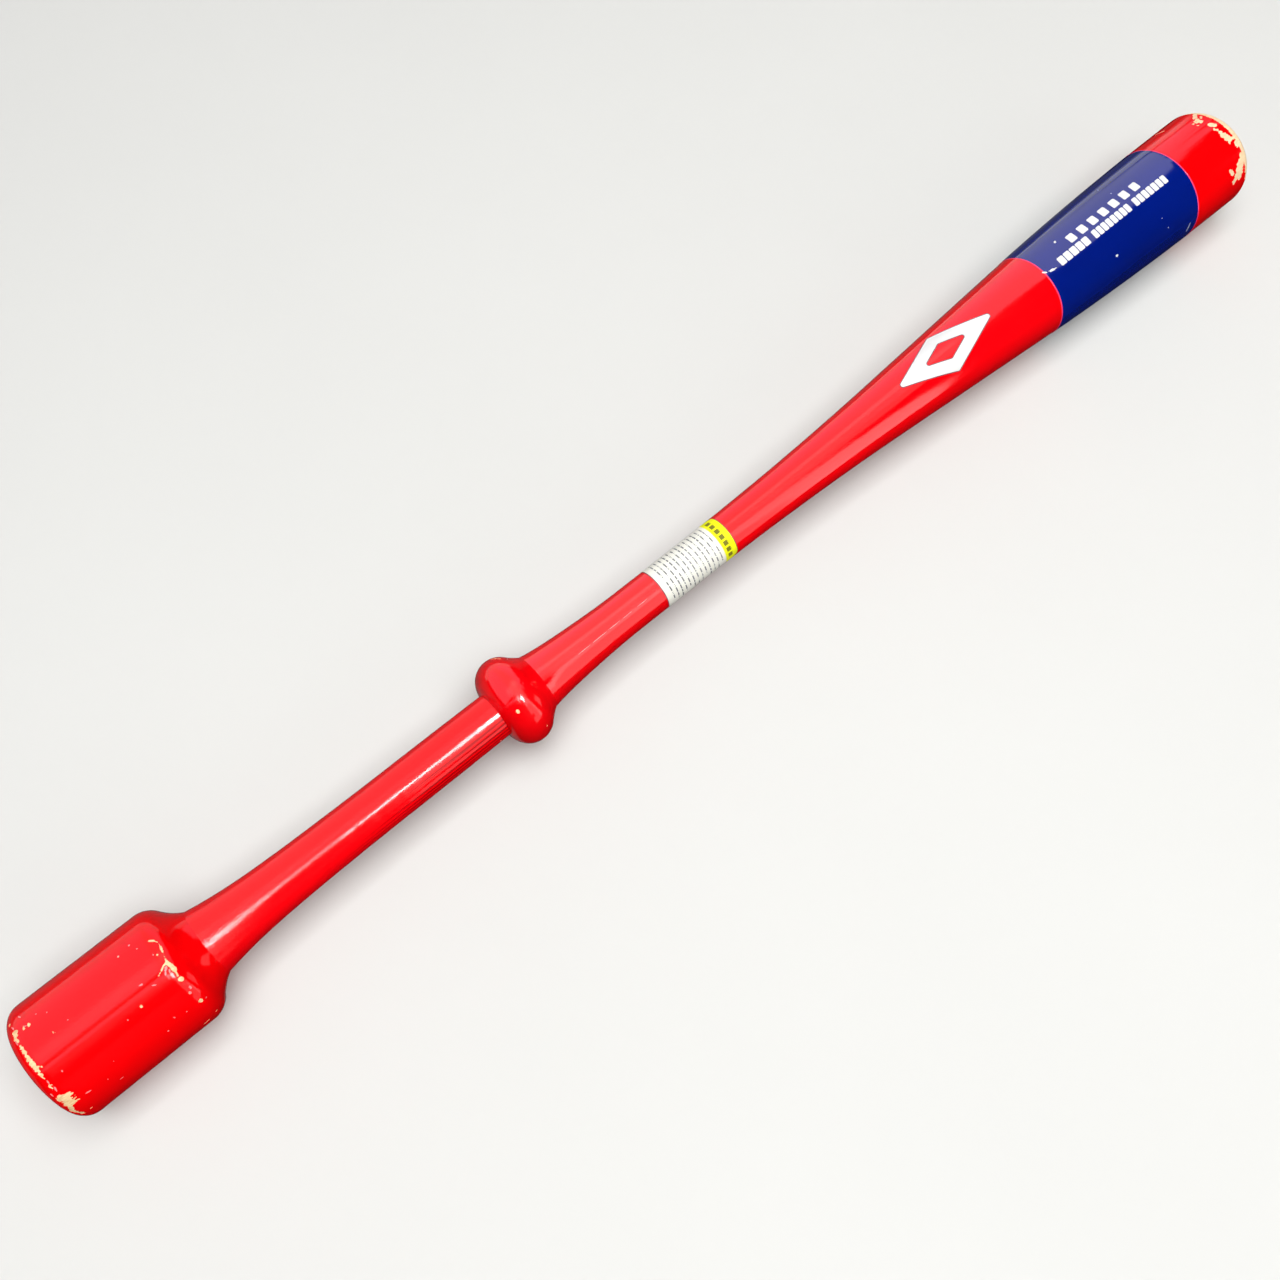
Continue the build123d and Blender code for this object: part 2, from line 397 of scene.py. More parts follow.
def lacquer(name, tones, rough, sheen, streaks, specks, peel, level, cream=(1.0, 0.62, 0.5), grip=None):
    """Gloss paint over wood, from a lighter and a deeper tone.

    rough is the least roughness, and sheen what streaks and clouds add to it. streaks is how strong the
    lengthwise brush streaks are, specks the share of cells with a cream pinhole, peel the orange peel and level
    the specular level. grip is (from, to): stations between which dark brush lines fade in, mostly on the side
    towards -Y, with sandy grain before them.
    """
    m, tree, shader = tree_of(name)
    lengthwise = stretched_noise(tree, (9, 650, 650), 4.0, 0.6)
    clouds = stretched_noise(tree, (14, 30, 30), 3.0)
    orange = stretched_noise(tree, (260, 260, 260), 2.0)
    tone = mixed(tree, ranged(tree, clouds, 0.3, 0.75, 0.0, 0.6), *tones)
    tone = mixed(tree, ranged(tree, lengthwise, 0.58, 0.8, 0.0, streaks), tone, tones[1])
    spots = speckle(tree, 170, 0.10, specks)
    tone = mixed(tree, maths(tree, "MULTIPLY", spots, 0.8), tone, cream)
    if grip:
        grip_from, grip_to = tail + grip[0] * MM, tail + grip[1] * MM
        place = add_node(tree, "ShaderNodeTexCoord").outputs["Object"]
        axes = add_node(tree, "ShaderNodeSeparateXYZ", {"Vector": place})
        along = axes.outputs["X"]
        flank = ranged(tree, axes.outputs["Y"], -0.0055, -0.0085, 0.12, 1.0)
        later = ranged(tree, along, grip_from, grip_to, 0.0, 1.0)
        brush = stretched_noise(tree, (5, 750, 750), 3.0, 0.55)
        lines = maths(tree, "MULTIPLY", ranged(tree, brush, 0.53, 0.62, 0.0, 0.85), later)
        lines = maths(tree, "MULTIPLY", lines, flank)
        tone = mixed(tree, lines, tone, (0.34, 0.0, 0.001))
    tree.links.new(tone, shader.inputs["Base Color"])
    matt = ranged(tree, lengthwise, 0.35, 0.75, rough, rough + sheen)
    matt = maths(tree, "ADD", matt, ranged(tree, clouds, 0.45, 0.8, 0.0, sheen))
    matt = maths(tree, "ADD", matt, maths(tree, "MULTIPLY", spots, 0.4))
    if grip:
        grains = stretched_noise(tree, (900, 900, 900), 2.0)
        sandy = ranged(tree, along, tail + grip[0] * MM * 0.8, grip_to, 1.0, 0.1)
        grit = maths(tree, "MULTIPLY", ranged(tree, grains, 0.50, 0.62, 0.0, 0.05), sandy)
        matt = maths(tree, "ADD", matt, grit)
    tree.links.new(matt, shader.inputs["Roughness"])
    bump = add_node(tree, "ShaderNodeBump", {"Height": lengthwise, "Strength": streaks, "Distance": 0.00012})
    pebble = add_node(
        tree,
        "ShaderNodeBump",
        {"Height": orange, "Strength": peel, "Distance": 0.0006, "Normal": bump.outputs["Normal"]},
    )
    if grip:
        sand = stretched_noise(tree, (1100, 1100, 1100), 2.0)
        early = ranged(tree, along, tail + grip[0] * MM * 0.68, grip_from, 0.5, 0.02)
        pebble = add_node(
            tree,
            "ShaderNodeBump",
            {"Height": sand, "Strength": early, "Distance": 0.0002, "Normal": pebble.outputs["Normal"]},
        )
    tree.links.new(pebble.outputs["Normal"], shader.inputs["Normal"])
    shader.inputs["Specular IOR Level"].default_value = level
    return m


def bare_wood(name, pale, dark):
    """Unpainted wood: grain along the bat, with some dirt rubbed in."""
    m, tree, shader = tree_of(name)
    grain = stretched_noise(tree, (18, 900, 900), 4.0, 0.6)
    dirt = stretched_noise(tree, (420, 420, 420), 3.0)
    tone = mixed(tree, ranged(tree, grain, 0.35, 0.7, 0.0, 1.0), pale, dark)
    tone = mixed(tree, ranged(tree, dirt, 0.6, 0.8, 0.0, 0.6), tone, (0.62, 0.30, 0.14))
    tree.links.new(tone, shader.inputs["Base Color"])
    bump = add_node(tree, "ShaderNodeBump", {"Height": grain, "Strength": 0.5, "Distance": 0.0002})
    tree.links.new(bump.outputs["Normal"], shader.inputs["Normal"])
    tree.links.new(ranged(tree, dirt, 0.3, 0.7, 0.55, 0.8), shader.inputs["Roughness"])
    shader.inputs["Specular IOR Level"].default_value = 0.3
    return m


def film(name, colour, shade, rough, level=0.5, grime=0.12):
    """A thin printed film or paper: nearly even, with fine fibres and a little grime. Also the flat colour of
    the painted shadow and painted highlight lines.
    """
    m, tree, shader = tree_of(name)
    fibres = stretched_noise(tree, (700, 1500, 1500), 4.0, 0.65)
    clouds = stretched_noise(tree, (60, 90, 90), 3.0)
    tone = mixed(tree, ranged(tree, fibres, 0.4, 0.75, 0.0, grime), colour, shade)
    tone = mixed(tree, ranged(tree, clouds, 0.45, 0.8, 0.0, grime * 2), tone, shade)
    tree.links.new(tone, shader.inputs["Base Color"])
    tree.links.new(ranged(tree, clouds, 0.3, 0.7, rough, rough + 0.12), shader.inputs["Roughness"])
    bump = add_node(tree, "ShaderNodeBump", {"Height": fibres, "Strength": 0.15, "Distance": 0.00005})
    tree.links.new(bump.outputs["Normal"], shader.inputs["Normal"])
    shader.inputs["Specular IOR Level"].default_value = level
    return m


red = (0.93, 0.0004, 0.0035), (0.74, 0.0002, 0.002)
warm_red = (0.93, 0.0003, 0.0016), (0.74, 0.0002, 0.001)
blue = (0.0006, 0.010, 0.19), (0.0004, 0.006, 0.13)
# This pink is a painted highlight: the light caught along the paint ridges at both edges of the blue band.
edge_highlight_tones = (1.0, 0.05, 0.17), (0.9, 0.02, 0.08)
# name, tones, roughness, sheen, streaks, specks, peel, specular level
block_red = lacquer("red lacquer, worn", warm_red, 0.075, 0.03, 0.06, 0.04, 0.015, 0.33)
grip_red = lacquer("red lacquer, handled", red, 0.075, 0.05, 0.4, 0.04, 0.02, 0.42, grip=(165, 225))
ring_red = lacquer("red lacquer, ring", red, 0.10, 0.04, 0.12, 0.03, 0.02, 0.55)
handle_red = lacquer("red lacquer, handle", red, 0.07, 0.05, 0.22, 0.01, 0.012, 0.72)
barrel_red = lacquer("red lacquer, barrel", red, 0.06, 0.05, 0.2, 0.01, 0.01, 0.55)
tip_red = lacquer("red lacquer, tip", warm_red, 0.06, 0.05, 0.2, 0.015, 0.01, 0.37)
blue_coat = lacquer("blue lacquer", blue, 0.06, 0.05, 0.12, 0.02, 0.012, 1.0, (0.3, 0.35, 0.6))
paint_edge_highlight = lacquer("red lacquer, paint edge, painted highlight", edge_highlight_tones, 0.12, 0.08, 0.2, 0.0, 0.02, 0.5)
wood = bare_wood("bare wood", (0.93, 0.72, 0.40), (0.74, 0.46, 0.21))
pale_wood = bare_wood("bare wood, pale", (0.90, 0.71, 0.45), (0.86, 0.54, 0.30))
# name, colour, shade, roughness, specular level, grime
# Pale scraped lacquer for the block's scuffs; on the handle the same colour is a painted highlight line.
scuff_and_highlight = film("scraped lacquer and painted highlight", (0.95, 0.30, 0.30), (0.70, 0.08, 0.10), 0.5, 0.4, 0.4)
paper = film("label paper", (0.84, 0.825, 0.745), (0.77, 0.75, 0.66), 0.45, 0.2)
header = film("label header print", (0.92, 0.92, 0.006), (0.80, 0.79, 0.006), 0.5, 0.12)
header_ink = film("label header ink", (0.20, 0.19, 0.015), (0.14, 0.13, 0.01), 0.5, 0.15)
ink = film("label rules ink", (0.09, 0.09, 0.10), (0.28, 0.28, 0.28), 0.45, 0.3, 0.5)
white_film = film("white film", (0.75, 0.75, 0.74), (0.68, 0.67, 0.65), 0.14, 0.5, 0.08)
# Dark red-brown for the thin lines round the label and the decal: painted shadow along their edges.
painted_edge_shadow = film("painted edge shadow", (0.16, 0.03, 0.05), (0.10, 0.02, 0.03), 0.25, 0.4)

# ---------------------------------------------------------------- pieces
block_outline = outline("counterweight_block", 0, block_end, 12)
block_outline = np.concatenate([[[0.0, 0.4], [0.0, 12.0]], block_outline])
grip_outline = outline("lower_grip", block_end, ring_start, 11.5)
ring_outline = outline("grip_ring", ring_start, ring_end, 8)
barrel_outline = outline("barrel_and_handle", ring_end, overall, 8)
barrel_outline = np.concatenate([barrel_outline, [[overall - 0.003, 4.0], [overall, 0.4]]])


def stretch(start, end, spacing):
    """Rows of the whole handle and barrel curve between two stations."""
    rows = barrel_fine[(barrel_fine[:, 0] > start + 0.02) & (barrel_fine[:, 0] < end - 0.02)]
    ends = [[x, np.interp(x, barrel_fine[:, 0], barrel_fine[:, 1])] for x in (start, end)]
    rows = np.concatenate([ends[:1], rows, ends[1:]])
    t = np.r_[0, np.cumsum(np.hypot(*np.diff(rows, axis=0).T))]
    places = [0.0]
    while places[-1] < t[-1]:
        places.append(places[-1] + spacing(np.interp(places[-1], t, rows[:, 0])))
    places = np.array(places) * t[-1] / places[-1]
    return np.array([np.interp(places, t, c) for c in rows.T]).T


barrel_fine = smooth(barrel_outline, lambda x: 0.2)


def on_handle(x):
    """The radius of the handle or barrel at a station."""
    return float(np.interp(x, barrel_fine[:, 0], barrel_fine[:, 1]))


def keep(piece, slot, *nodes):
    """Have a piece ride on the bat and stand for the CAD nodes given, which are hidden. slot is not used."""
    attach(piece, "root")
    if nodes:
        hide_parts(*nodes)
    return piece


red_slot = "red_lacquered_wood"

block_chips = [
    # the tail rim, from the far side towards the camera's
    (6.3, 54, 6.3, 54, 1.5, 0.2),
    (5.1, 38, 5.1, 37, 1.5, 0.2),
    (6.6, 24, 6.1, 19, 2.6, 0.55),
    (5.9, 18, 6.3, 14, 1.5, 0.3),
    (14.1, 19.5, 14.1, 21.5, 1.6, 0.4),
    (11.1, 22, 11.3, 20, 1.1, 0.4),
    (21.3, 1.4, 21.6, -1, 0.9, 0.15),
    (5.9, 9, 6.3, 3, 1.5, 0.45),
    (6.3, 3, 6.1, -4, 1.8, 0.5),
    (6.1, -4, 6.4, -14, 2.2, 0.6),
    (6.3, -14, 6.3, -22, 1.5, 0.5),
    (7.6, -14, 9.0, -17, 0.7, 0.3),
    (6.4, -25, 6.4, -25.5, 0.9, 0.2),
    (6.3, -33, 6.0, -37, 1.2, 0.8),
    (3.6, -41, 3.6, -41, 1.0, 0.3),
    (6.2, -49, 6.4, -57, 5.4, 1.0),
    (8.4, -50, 8.2, -57, 4.2, 2.0),
    (4.9, -61, 4.2, -70, 2.4, 0.4),
    (4.2, -70, 5.8, -80, 1.8, 0.4),
    (10.0, -79, 10.8, -79, 0.9, 0.2),
    # the shoulder: a long broken line with a fork
    (78.3, 13, 79.6, 11, 1.3, 0.15),
    (79.6, 11, 80.8, 8, 0.5, 0.1),
    (80.8, 8, 80.8, 4, 0.35, 0.1),
    (80.7, 3, 80.3, -2, 1.0, 0.1),
    (80.2, -2, 79.4, -9, 0.35, 0.1),
    (79.4, -9, 78.9, -12, 0.8, 0.1),
    (79.0, -12, 79.5, -16, 1.8, 0.15),
    (79.5, -16, 79.7, -21, 2.1, 0.18),
    (79.7, -21, 79.0, -27, 0.8, 0.15),
    (78.9, -12, 76.6, -13, 1.0, 0.15),
    (76.6, -13, 74.7, -15, 0.9, 0.15),
    (74.7, -15, 72.6, -17, 0.55, 0.15),
    (77.6, -2, 77.6, -2, 1.1, 0.1),
    (78.9, -30.5, 79.3, -31.5, 2.1, 0.2),
    (78.2, -45, 78.2, -46, 1.2, 0.1),
    (79.0, -58.5, 79.3, -60, 1.8, 0.3),
    (58.0, -27.5, 58.0, -28.5, 1.3, 0.1),
    (79.7, -88, 79.7, -88, 1.4, 0.1),
    (71.6, -91, 74.4, -90, 1.3, 0.15),
    # out of the camera's sight
    (79.5, 130, 79.7, 140, 1.5, 0.3),
    (60.0, 178, 60.4, 178, 1.5, 0.3),
    (6.8, 112, 6.4, 124, 4.0, 0.7),
    (6.2, 158, 6.4, 174, 2.6, 0.6),
    (6.6, -112, 6.2, -122, 3.4, 0.7),
    (6.2, -146, 6.4, -152, 2.0, 0.5),
]
block_dents = [(76.9, -17.5, 1.7, 0.12), (79.2, -63, 1.0, 0.12), (78.8, -35, 0.9, 0.12)]


def block_spacing(x):
    """Fine rows at the two worn rims, coarse ones on the flat end face and the plain middle."""
    if 2.5 < x < 16 or 71 < x < 83:
        return 0.45
    if x < 0.005:
        return 2.0
    return 1.0 if x < 24 or x > 56 else 2.5


block_path = smooth(block_outline, block_spacing)
block_core = sunk(smooth(block_outline, lambda x: 1.0), coat - coat_overlap)
block_left = wear(block_chips, seed=3.0)
keep(core("counterweight_bare_wood", block_core, 256, wood), red_slot)
keep(
    shell("counterweight_lacquer", block_path, 384, block_red, coat, block_left, block_dents, cap="first"),
    red_slot,
    "counterweight_block",
)

grip_path = smooth(grip_outline, lambda x: 1.2 if x < 130 else 2.5)
keep(core("grip_bare_wood", sunk(smooth(grip_outline, lambda x: 3.0), coat), 128, wood), red_slot)
keep(shell("grip_lacquer", grip_path, 192, grip_red, coat), red_slot, "lower_grip")

ring_chips = [
    (297.6, 57, 300.9, 45, 1.3, 0.15),
    (288.6, -32, 288.6, -34, 1.6, 0.1),
    (297.9, -76, 297.9, -76, 1.1, 0.1),
    (296.0, 126, 296.2, 134, 1.4, 0.3),
    (293.0, -149, 293.2, -152, 1.4, 0.3),
]
ring_dents = [(288.4, -30, 1.3, 0.12), (299.6, -9, 0.7, 0.12)]
ring_path = smooth(ring_outline, lambda x: 0.5)
ring_core = sunk(smooth(ring_outline, lambda x: 0.9), coat - coat_overlap)
ring_left = wear(ring_chips, seed=8.0)
keep(core("ring_bare_wood", ring_core, 192, wood), red_slot)
keep(shell("ring_lacquer", ring_path, 352, ring_red, coat, ring_left, ring_dents), red_slot, "grip_ring")

barrel_core = sunk(stretch(ring_end, overall, lambda x: 0.8 if x > 860 else 4.0), coat - coat_overlap)
handle_path = stretch(ring_end, label_end, lambda x: 1.5 if x < 335 else 3.0)
taper_path = stretch(label_end, blue_start, lambda x: 3.0)
keep(core("barrel_bare_wood", barrel_core, 256, pale_wood), red_slot)
keep(shell("handle_lacquer", handle_path, 224, handle_red, coat), red_slot, "barrel_and_handle")
keep(shell("taper_lacquer", taper_path, 256, barrel_red, coat), red_slot, "barrel_and_handle")

blue_edge_drop = 0.1
blue_path = stretch(blue_start, blue_end, lambda x: 2.0)
blue_path[:, 1] += blue_lift
blue_path[0, 1] -= blue_edge_drop
blue_path[-1, 1] -= blue_edge_drop
keep(shell("blue_lacquer", blue_path, 384, blue_coat, coat + blue_lift), "blue_lacquer", "blue_band")

tip_chips = [
    (880.0, 33, 876.4, 28, 2.8, 0.4),
    (874.6, 23, 874.4, 18, 3.2, 0.5),
    (872.2, 24, 872.4, 20, 1.6, 0.5),
    (877.4, 22, 878.6, 24, 1.6, 0.4),
    (869.8, 22, 870.2, 22, 1.6, 0.4),
    (870.0, 17, 870.2, 16, 1.2, 0.4),
    (875.4, 6.5, 876.6, 3.5, 3.6, 0.4),
    (873.6, -0.5, 875.2, -4, 1.8, 0.4),
    (875.2, -8, 875.2, -13, 3.2, 0.5),
    (875.4, -13, 876.8, -19, 4.8, 0.5),
    (877.6, -19, 879.6, -21, 2.4, 0.4),
    (874.9, -23, 874.9, -24, 1.4, 0.4),
    (879.6, -27, 879.4, -31, 2.4, 0.5),
    (879.4, -42, 878.6, -50, 3.0, 0.4),
    (877.5, -50, 874.5, -58, 6.4, 0.5),
    (873.5, -58, 871.0, -64, 4.6, 0.7),
    (876.5, -58, 875.5, -65, 4.4, 0.5),
    (867.3, -51, 868.6, -55, 3.2, 0.4),
    (870.4, -64, 869.4, -68, 1.9, 0.6),
    (857.6, 57, 859.6, 48, 1.8, 0.2),
    (878.5, 116, 878.0, 126, 4.0, 0.7),
    (876.5, 160, 876.0, 168, 5.0, 0.8),
    (878.0, -106, 878.4, -116, 4.0, 0.7),
    (875.0, -137, 875.4, -143, 4.4, 0.8),
]
tip_bands = [
    (880.6, 888.4, -66, 36, 0.3),
    (881.6, 888.0, -76, -60, 0.4),
    (880.8, 888.4, 34, 64, 0.25),
    (880.0, 888.0, 62, 118, 0.9),
    (880.6, 887.0, 146, 262, 0.9),
]


def tip_spacing(x):
    """Fine rows at the worn rim, and a step between them and the coarse ones."""
    if 864 < x < 889.6:
        return 0.45
    return 0.8 if 855 < x < 865 else 1.5


tip_path = stretch(blue_end, overall, tip_spacing)
tip_left = wear(tip_chips, tip_bands, seed=1.0)
keep(
    shell("tip_lacquer", tip_path, 448, tip_red, coat, tip_left, cap="last"),
    red_slot,
    "barrel_and_handle",
)


bead_offset, bead_half_width, bead_height, bead_depth = 0.25, 0.45, blue_lift + 0.03, 0.15


def bead(name, station):
    """A low rounded ridge of paint round the bat, its pink colour a painted highlight along it."""
    s = np.linspace(-1, 1, 7)
    x = station + bead_half_width * s
    r = np.interp(x, barrel_fine[:, 0], barrel_fine[:, 1]) + bead_height * np.sqrt(1 - 0.98 * s * s)
    path = np.array([x, r]).T
    return shell(name, path, 288, paint_edge_highlight, bead_height + bead_depth)


keep(bead("band_edge_tailward", blue_start - bead_offset), red_slot)
keep(bead("band_edge_tipward", blue_end + bead_offset), red_slot)


def angles_of(node):
    """The least and greatest angle, in degrees from the top, that a CAD node on the bat's face reaches."""
    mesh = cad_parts[node].data
    found = [math.degrees(math.atan2(v.co.y, v.co.z - axis_height)) for v in mesh.vertices]
    return min(found), max(found)


label_first, label_last = angles_of("label_sheet")


def sheet(name, start, end, material, lift, thick, spare=0.0, corner=0.0):
    """A thin sheet stuck on part of the way round, spare wider than the label at each side.

    Its two corners towards the tip are rounded, with a radius of corner.
    """
    path = stretch(start, end, lambda x: 1.5 if x < end - 6 else 0.25)
    columns = 150
    top, bottom = [], []
    for x, r in path:
        into = max(0.0, corner - (end - x))
        inset = corner - math.sqrt(max(0.0, corner * corner - into * into))
        spread = math.degrees((spare - inset) / r)
        angles = np.radians(np.linspace(label_first - spread, label_last + spread, columns))
        for row, lifted in ((top, lift), (bottom, lift - thick)):
            row.append(ring_points(np.array([[x, r + lifted]]), angles)[0])
    points = np.concatenate([np.concatenate(top), np.concatenate(bottom)])
    rows, under = len(path), len(path) * columns
    faces = []
    for i in range(rows - 1):
        for j in range(columns - 1):
            a = i * columns + j
            quad = [a, a + 1, a + 1 + columns, a + columns]
            faces += [quad, [v + under for v in quad[::-1]]]
    rim = list(range(columns)) + [i * columns + columns - 1 for i in range(1, rows)]
    rim += [(rows - 1) * columns + j for j in range(columns - 2, -1, -1)]
    rim += [i * columns for i in range(rows - 2, 0, -1)]
    for a, b in zip(rim, rim[1:] + rim[:1]):
        faces.append([b, a, a + under, b + under])
    return mesh_object(name, points, faces, material)


# A dark sheet a little wider than the label, which shows as a thin line round it: painted shadow along its
# edges.
label_edge_shadow = sheet(
    "label_edge_shadow",
    label_start - 0.5,
    label_end + 0.5,
    painted_edge_shadow,
    label_shadow_lift,
    label_shadow_thickness,
    label_shadow_reach,
    header_corner + label_shadow_reach,
)
keep(label_edge_shadow, "label_white")
label_paper = sheet("label_paper", label_start, label_seam, paper, label_lift, label_thickness)
keep(label_paper, "label_white", "label_sheet")
label_print = sheet(
    "label_top_print", label_seam, label_end, header, label_lift, label_thickness, corner=header_corner
)
keep(label_print, "label_yellow", "label_header")


def rule(points, faces, x, width, first, last):
    """A thin printed rule on the label, running round the handle from one angle to another."""
    radius = on_handle(x) + label_lift
    steps = max(1, int(abs(last - first) / 4))
    base = len(points)
    for k in range(steps + 1):
        angle = math.radians(first + (last - first) * k / steps)
        for dx, dr in ((-1, print_thickness), (1, print_thickness), (1, -print_depth), (-1, -print_depth)):
            r = (radius + dr) * MM
            points.append(
                (tail + (x + dx * width / 2) * MM, r * math.sin(angle), axis_height + r * math.cos(angle))
            )
    for k in range(steps):
        a, b = base + 4 * k, base + 4 * k + 4
        faces += [[a + i, b + i, b + (i + 1) % 4, a + (i + 1) % 4] for i in range(4)]
    faces.append([base + 3, base + 2, base + 1, base])
    end = base + 4 * steps
    faces.append([end, end + 1, end + 2, end + 3])


# Rows of broken rules in place of the label's small print. Their lengths and gaps vary with sines, so they are
# the same each time.
rule_points, rule_faces = [], []
rule_width, lines = 0.8, 13
for line in range(lines):
    x = label_start + 4.4 + line * (label_seam - label_start - 7.0) / (lines - 1)
    angle = label_last - 7.0 - 3 * (line % 3)
    stop = label_first + 9.0 if line % 4 else label_first + 28.0
    turn = line * 7.31
    while angle > stop:
        size = 4.0 + 11.0 * abs(math.sin(turn))
        gap = 1.4 + 2.6 * abs(math.sin(turn * 2.7 + 1.0))
        if line in (0, 3) and -20 < angle < 10:
            gap += 8.0
        last = max(stop - 4, angle - size)
        rule(rule_points, rule_faces, x, rule_width, angle, last)
        angle -= size + gap
        turn += 1.37
keep(mesh_object("label_rules", rule_points, rule_faces, ink), "label_white")

# Plain bars in place of the header's lettering.
mark_points, mark_faces = [], []
mark_width, marks = 4.6, 7
header_middle = (label_seam + label_end) / 2
pitch = (label_last - label_first - 30.0) / marks
for k in range(marks):
    first = label_last - 17.0 - pitch * k
    last = first - 0.68 * pitch
    rule(mark_points, mark_faces, header_middle, mark_width, first, last)
keep(mesh_object("label_header_marks", mark_points, mark_faces, header_ink), "label_yellow")


def fleck(points, faces, x1, a1, x2, a2, width, radius, seed):
    """A little uneven splash, scrape or painted highlight line from one place, a station and an angle, to
    another.
    """
    base, sides = len(points), 14
    middle = (x1 + x2) / 2
    turned = radius(middle)
    dx, ds = x2 - x1, math.radians(a2 - a1) * turned
    length = math.hypot(dx, ds)
    ux, us = (dx / length, ds / length) if length > 0 else (1.0, 0.0)
    ring = []
    for k in range(sides):
        t = 2 * math.pi * k / sides
        wide = 0.85 + 0.5 * noise.noise(Vector((2.1 * math.cos(t) + seed, 2.1 * math.sin(t), seed * 0.37)))
        u = wide * (length + width) / 2 * math.cos(t)
        v = wide * width / 2 * math.sin(t)
        ring.append((middle + u * ux - v * us, u * us + v * ux))
    for lifted in (fleck_thickness, -fleck_depth):
        for px, away in ring + [(middle, 0.0)]:
            r = radius(px) + lifted
            turn = math.radians((a1 + a2) / 2) + away / turned
            points.append((tail + px * MM, r * MM * math.sin(turn), axis_height + r * MM * math.cos(turn)))
    under = sides + 1
    for k in range(sides):
        n = (k + 1) % sides
        faces.append([base + n, base + k, base + sides])
        faces.append([base + under + k, base + under + n, base + under + sides])
        faces.append([base + k, base + n, base + under + n, base + under + k])


def splashes(name, marks, radius, material, slot):
    """One piece of many flecks. Each mark is (station, angle, station, angle, width)."""
    points, faces = [], []
    for number, mark in enumerate(marks):
        fleck(points, faces, *mark, radius, 3.1 * number)
    return keep(mesh_object(name, points, faces, material), slot)


def on_band(x):
    return on_handle(x) + blue_lift


def on_block(x):
    return float(np.interp(x, block_path[:, 0], block_path[:, 1]))


splashes(
    "band_flecks",
    [
        (732.1, 14.5, 732.7, 15.5, 1.6),
        (709.6, -6.6, 711.4, -9.6, 1.3),
        (713.4, -11, 717.8, -12.8, 1.6),
        (759.6, -46.6, 760.2, -47.4, 1.7),
        (827.0, -76, 825.4, -85, 0.8),
        (805.4, -59, 805.4, -59, 0.8),
        (801.8, -44, 801.8, -44, 0.7),
    ],
    on_band,
    white_film,
    "white_film",
)
splashes(
    "block_scuffs",
    [
        (77.6, -15, 76.4, -17, 1.5),
        (76.0, -18, 75.2, -20, 0.9),
        (78.0, -18, 77.2, -21, 0.8),
        (79.9, -41, 79.7, -43, 1.2),
        (78.2, -45, 78.2, -46, 1.1),
        (81.5, -62, 81.6, -62, 0.7),
        (63.2, -13.5, 64.6, -14.2, 1.0),
        (67.6, -20, 69.2, -21.6, 0.7),
        (76.2, 0, 76.2, 0, 0.8),
        (69.2, 22, 69.5, 22, 0.9),
        (71.6, 14, 71.6, 14, 0.8),
        (71.2, -58, 71.2, -58, 0.8),
        (65.1, -54, 65.6, -55, 0.8),
        (59.1, -62, 59.1, -62, 0.8),
        (10.6, 37, 11.6, 34, 0.9),
        (11.6, 22, 12.6, 21, 0.8),
        (18.6, 25, 18.6, 25, 0.8),
        (23.2, 19, 23.2, 19, 0.7),
        (29.4, 1, 29.4, 1, 0.7),
        (14.4, -59, 16.6, -60, 1.0),
        (14.3, -29, 14.3, -30, 0.7),
        (28.4, -72, 30.2, -72, 0.5),
        (25.3, -62, 25.3, -62, 0.6),
        (49.8, -30, 49.8, -30, 0.7),
        (33.0, -51, 33.0, -51, 0.5),
        (6.2, 31, 6.8, 27, 0.8),
        (5.0, 17, 5.4, 11, 0.8),
        (6.8, -28, 6.6, -31, 0.8),
        (3.6, -40, 3.6, -43, 0.8),
        (7.2, -36, 6.8, -40, 0.9),
    ],
    on_block,
    scuff_and_highlight,
    red_slot,
)
# A thin pale line along the handle: a painted highlight, where the lacquer mirrors a narrow bright gap.
splashes(
    "handle_highlight_line",
    [
        (335.0, -27.2, 345.0, -27.0, 0.28),
        (346.0, -27.0, 357.0, -26.6, 0.34),
        (358.0, -26.5, 366.0, -26.3, 0.34),
        (367.5, -26.3, 376.0, -26.0, 0.30),
        (379.0, -25.8, 386.5, -25.2, 0.24),
    ],
    on_handle,
    scuff_and_highlight,
    red_slot,
)

# A thin dark outline round the decal: painted shadow along its edge.
decal_low, decal_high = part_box("barrel_decal")
decal_path = stretch(station_of(decal_low.x) - 2.0, station_of(decal_high.x) + 2.0, lambda x: 0.45)
decal_path[:, 1] += decal_shadow_thickness
decal_reach = round_about("barrel_decal", decal_shadow_reach)
keep(shell("decal_edge_shadow", decal_path, 448, painted_edge_shadow, decal_shadow_thickness, decal_reach), "white_film")

# These CAD nodes keep their shape and get a better material.
for node in ("barrel_decal", "band_marks_short", "band_marks_long"):
    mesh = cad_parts[node].data
    mesh.materials.clear()
    mesh.materials.append(white_film)

# ---------------------------------------------------------------- stage
floor_half, dome_radius = 12.0, 11.5
# The floor glows more and more between these distances from its middle, up to this strength, so that it stays
# pale where the lights don't reach.
glow_from, glow_to, glow_strength = 0.9, 4.0, 0.64
dome_strength = 0.95
corners = [(-floor_half, -floor_half, 0), (floor_half, -floor_half, 0)]
corners += [(floor_half, floor_half, 0), (-floor_half, floor_half, 0)]

